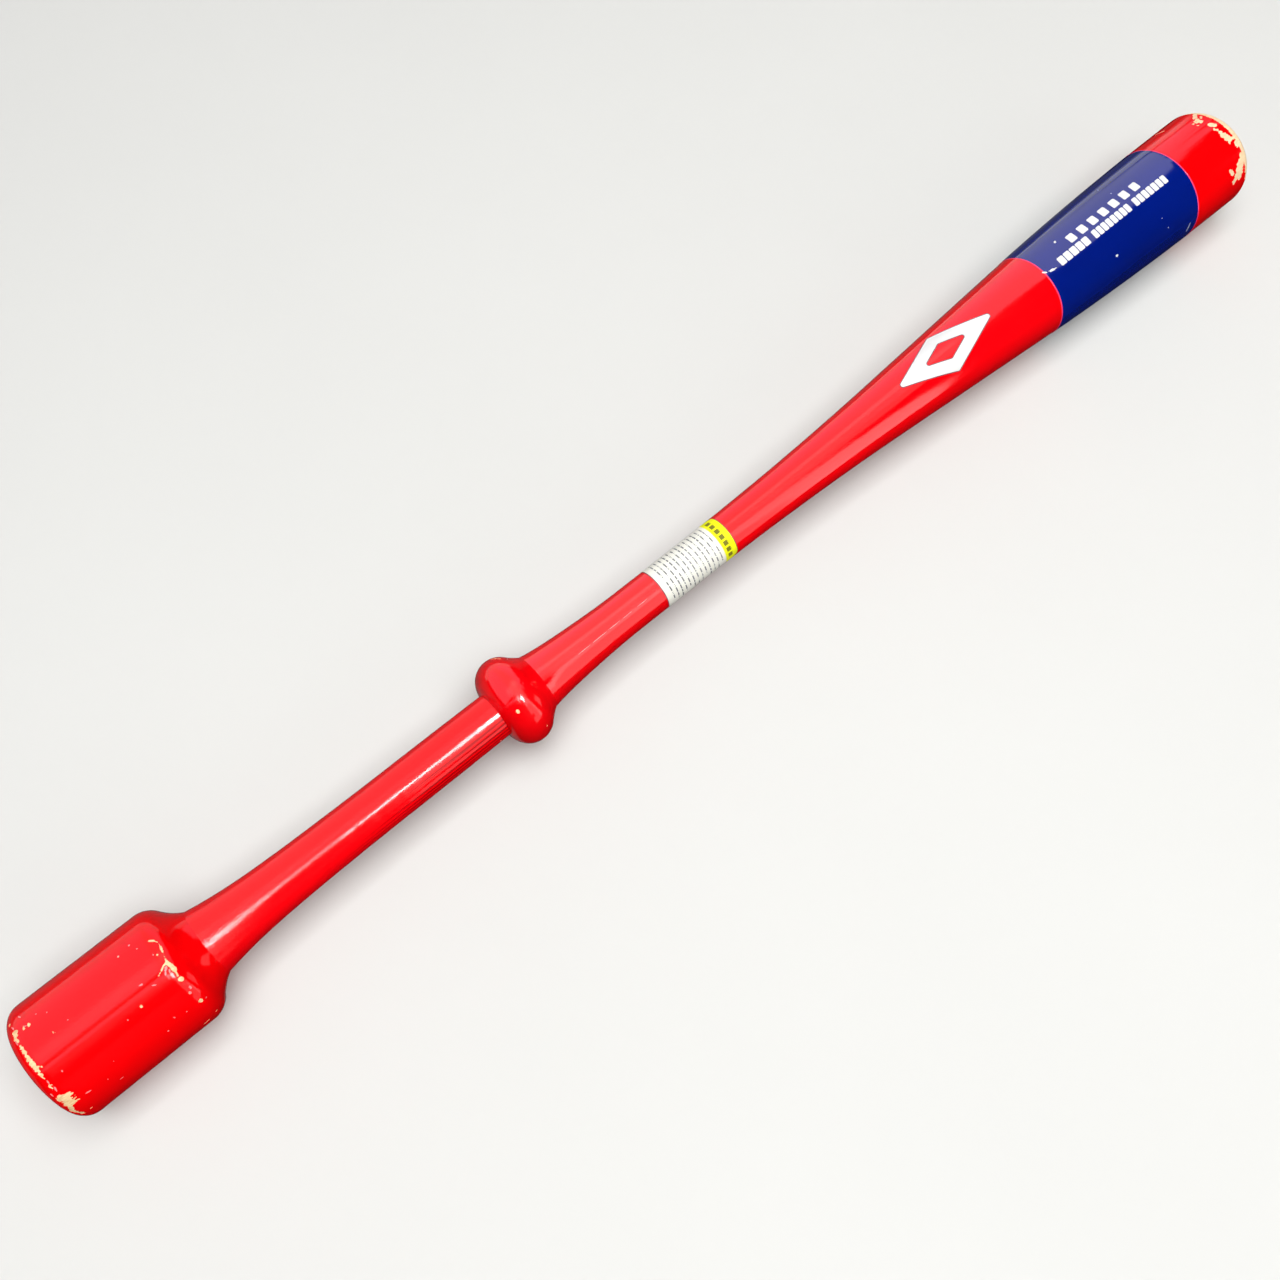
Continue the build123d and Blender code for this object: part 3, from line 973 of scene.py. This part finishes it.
floor_mesh = bpy.data.meshes.new("floor")
floor_mesh.from_pydata(corners, [], [[0, 1, 2, 3]])
floor = bpy.data.objects.new("floor", floor_mesh)
bpy.context.scene.collection.objects.link(floor)
floor_paint, floor_tree, floor_shader = tree_of("pale floor")
floor_noise = stretched_noise(floor_tree, (3, 3, 3))
floor_tone = mixed(floor_tree, floor_noise, (0.62, 0.62, 0.60), (0.66, 0.66, 0.64))
floor_tree.links.new(floor_tone, floor_shader.inputs["Base Color"])
floor_shader.inputs["Roughness"].default_value = 0.9
floor_shader.inputs["Specular IOR Level"].default_value = 0.1
floor_place = add_node(floor_tree, "ShaderNodeTexCoord").outputs["Object"]
floor_far = add_node(floor_tree, "ShaderNodeVectorMath", {0: floor_place}, operation="LENGTH")
floor_glow = ranged(floor_tree, floor_far.outputs["Value"], glow_from, glow_to, 0.0, glow_strength)
floor_tree.links.new(floor_glow, floor_shader.inputs["Emission Strength"])
floor_shader.inputs["Emission Color"].default_value = (1.0, 1.0, 0.98, 1.0)
floor_mesh.materials.append(floor_paint)

dome_mesh = bpy.data.meshes.new("backdrop")
dome_shape = bmesh.new()
bmesh.ops.create_uvsphere(dome_shape, u_segments=64, v_segments=32, radius=dome_radius)
bmesh.ops.reverse_faces(dome_shape, faces=dome_shape.faces)
dome_shape.to_mesh(dome_mesh)
dome_shape.free()
dome_mesh.shade_smooth()
dome = bpy.data.objects.new("backdrop", dome_mesh)
bpy.context.scene.collection.objects.link(dome)
dome_paint, dome_tree, dome_shader = tree_of("pale backdrop")
dome_noise = stretched_noise(dome_tree, (0.4, 0.4, 0.4))
dome_tone = mixed(dome_tree, dome_noise, (0.88, 0.88, 0.87), (0.92, 0.92, 0.91))
dome_tree.links.new(dome_tone, dome_shader.inputs["Emission Color"])
dome_shader.inputs["Emission Strength"].default_value = dome_strength
dome_shader.inputs["Base Color"].default_value = (0.0, 0.0, 0.0, 1.0)
dome_shader.inputs["Specular IOR Level"].default_value = 0.0
dome_mesh.materials.append(dome_paint)
dome.visible_transmission = False
dome.visible_volume_scatter = False
dome.visible_shadow = False
for staged in (floor, dome):
    staged.visible_glossy = False
    staged.visible_diffuse = False

# ---------------------------------------------------------------- light
# The world is an even dim white, which glossy rays don't see.
world = bpy.data.worlds.new("studio")
bpy.context.scene.world = world
world.use_nodes = True
background = world.node_tree.nodes["Background"]
background.inputs["Color"].default_value = (1.0, 1.0, 1.0, 1.0)
background.inputs["Strength"].default_value = 0.24
world.cycles_visibility.glossy = False


def panel(name, corner, along, across, radiance, tint=(1.0, 1.0, 1.0), mirrored=True):
    """A flat rectangular light, given by a corner and the two sides that leave it.

    The corner is in metres from the tail, the axis line and the floor. The light shines in the direction
    opposite to along cross across. A mirrored panel is a card that only glossy rays see; any other gives only
    diffuse light.
    """
    corner, along, across = Vector(corner), Vector(along), Vector(across)
    light = bpy.data.lights.new(name, "AREA")
    light.shape = "RECTANGLE"
    light.color = tint
    light.size, light.size_y = along.length, across.length
    light.energy = radiance * math.pi * along.length * across.length
    lamp = bpy.data.objects.new(name, light)
    bpy.context.scene.collection.objects.link(lamp)
    x, y = along.normalized(), across.normalized()
    z = x.cross(y)
    lamp.rotation_mode = "QUATERNION"
    lamp.rotation_quaternion = Matrix((x, y, z)).transposed().to_quaternion()
    lamp.location = Vector((tail, 0, 0)) + corner + along / 2 + across / 2
    lamp.visible_camera = False
    lamp.visible_diffuse = not mirrored
    lamp.visible_glossy = mirrored


# Glossy-only cards: what the lacquer mirrors. The overhead card is cut into strips along the bat, because its
# near edge is not straight: (from, to, near edge from, near edge to, blueness), in metres.
card_height, card_far, card_low = 2.0, 12.0, -0.3
# No card hangs in a cone that opens beyond the tip: fan_slope is its length over its radius.
bat_length, fan_slope = 0.89, 1.01
sloping_width, fan_strips = 0.09, 12
sky_edges = [
    (-8.0, -0.1, -0.34, -0.34, 1.25),
    (-0.1, 0.6, -0.84, -0.84, 1.05),
    (0.6, 1.35, -1.2, -1.2, 1.0),
    (1.35, 1.62, -0.55, -0.55, 1.1),
    (1.62, 1.68, -0.3, -0.3, 1.2),
    (1.68, 2.1, -0.08, -0.50, 1.2),
    (2.1, 2.8, -0.50, 0.62, 1.3),
    (2.8, 9.0, 0.68, 0.68, 1.3),
]


def fan(x, height):
    """How far back a card's near edge lies at x, so that only faces turned towards the tip miss the card."""
    reach = max(0.0, x - bat_length) / fan_slope
    return math.sqrt(reach * reach - height * height) if reach > abs(height) else -card_far


for start, end, edge, edge_end, blueness in sky_edges:
    steps = 1 if edge == edge_end else max(1, round((end - start) / sloping_width))
    if (start, end) == sky_edges[-1][:2]:
        steps = fan_strips
    width = (end - start) / steps
    for k in range(steps):
        near = edge + (edge_end - edge) * (k + 0.5) / steps
        near = max(near, fan(start + (k + 0.5) * width, card_height))
        corner = (start + k * width, near, card_height)
        panel("sky card", corner, (width, 0, 0), (0, card_far - near, 0), 1.0, (1.0, 1.0, blueness))
# The smaller cards hang a little lower, clear of the sky card, because cards at one height hide each other.
panel("sky card low band", (-8.0, -0.82, 1.99), (7.9, 0, 0), (0, 0.22, 0), 1.0, (1.0, 1.0, 1.3))
panel("sky card dim band", (1.35, -1.25, 1.99), (0.27, 0, 0), (0, 0.70, 0), 0.7)
panel("bright cloud", (-1.2, -0.1, 1.97), (1.0, 0, 0), (0, 0.45, 0), 0.25)
panel("bright cloud tipward", (0.6, 0.2, 1.97), (1.0, 0, 0), (0, 0.55, 0), 0.65)
panel("far card", (-8.0, card_far, -1.3), (0, 0, 3.3), (21.0, 0, 0), 1.0)
panel("side card low", (0.50, -1.2, -0.15), (0.45, 0, 0), (0, 0, 1.30), 1.2)
panel("side card low, tailward", (0.28, -1.2, -0.15), (0.22, 0, 0), (0, 0, 0.37), 1.2)
panel("side card middle, tailward", (0.28, -1.2, 0.40), (0.22, 0, 0), (0, 0, 0.75), 1.35)
panel("side card low, tipward", (0.95, -1.2, -0.15), (0.24, 0, 0), (0, 0, 1.30), 2.5)
panel("side card middle", (0.30, -1.2, 1.15), (0.9, 0, 0), (0, 0, 0.35), 2.3)
panel("side card high", (0.30, -1.2, 1.5), (1.0, 0, 0), (0, 0, 0.5), 2.4)
panel("side card far", (8.4, -6.0, -1.0), (8.0, 0, 0), (0, 0, 5.0), 1.2)
# Bright strips, as of a window, for the highlight along the bat: (from, to, near edge, far edge, radiance).
for start, end, near, far, radiance in (
    (-0.22, -0.06, -1.13, -0.78, 10.0),
    (-0.06, 0.08, -0.93, -0.58, 7.0),
    (0.08, 0.25, -1.02, -0.60, 4.0),
    (0.25, 0.37, -1.14, -0.78, 34.0),
    (0.37, 0.45, -1.17, -0.80, 27.0),
    (0.45, 0.57, -1.22, -0.84, 22.0),
    (0.57, 0.69, -1.34, -0.70, 60.0),
    (0.69, 0.94, -1.14, -0.94, 3.0),
):
    panel("window strip", (start, near, 1.96), (end - start, 0, 0), (0, far - near, 0), radiance)
panel("ground card near", (-10, -12, card_low), (0, 12, 0), (20, 0, 0), 0.01)
panel("ground card tail", (-1.6, -0.3, card_low), (0, 1.4, 0), (1.5, 0, 0), 0.16)
panel("ground card far", (-10, 0, card_low), (0, 12, 0), (11.2, 0, 0), 0.14)
ground_start, ground_width, ground_strips = 1.2, 0.5, 12
for k in range(ground_strips):
    start, width = ground_start + ground_width * k, ground_width
    near = max(0.0, fan(start + width / 2, card_low - axis_height))
    bright = 0.10 if start < 1.9 else 0.36
    panel("ground card far", (start, near, card_low), (0, card_far - near, 0), (width, 0, 0), bright)

# Diffuse light: a broad light overhead, a little towards the camera, and a weak one from the camera's side.
panel("soft top", (-0.9, -1.75, 2.5), (2.4, 0, 0), (0, 2.4, 0), 5.35, mirrored=False)
panel("soft front", (-1.2, -3.0, 0.2), (3.4, 0, 0), (0, 0, 2.0), 0.85, mirrored=False)

# ---------------------------------------------------------------- camera
camera_place = (tail + 0.184, -0.233, 0.692)
camera_aim = Vector((0.2597, 0.2996, -0.9181))
camera_data = bpy.data.cameras.new("camera")
camera_data.sensor_width = 36.0
camera_data.lens = 36.06
camera_data.clip_start = 0.01
camera = bpy.data.objects.new("camera", camera_data)
camera.location = camera_place
camera.rotation_mode = "QUATERNION"
camera.rotation_quaternion = camera_aim.to_track_quat("-Z", "Y")
bpy.context.scene.collection.objects.link(camera)
bpy.context.scene.camera = camera

bpy.context.scene.view_settings.view_transform = "Standard"
bpy.context.scene.view_settings.look = "None"
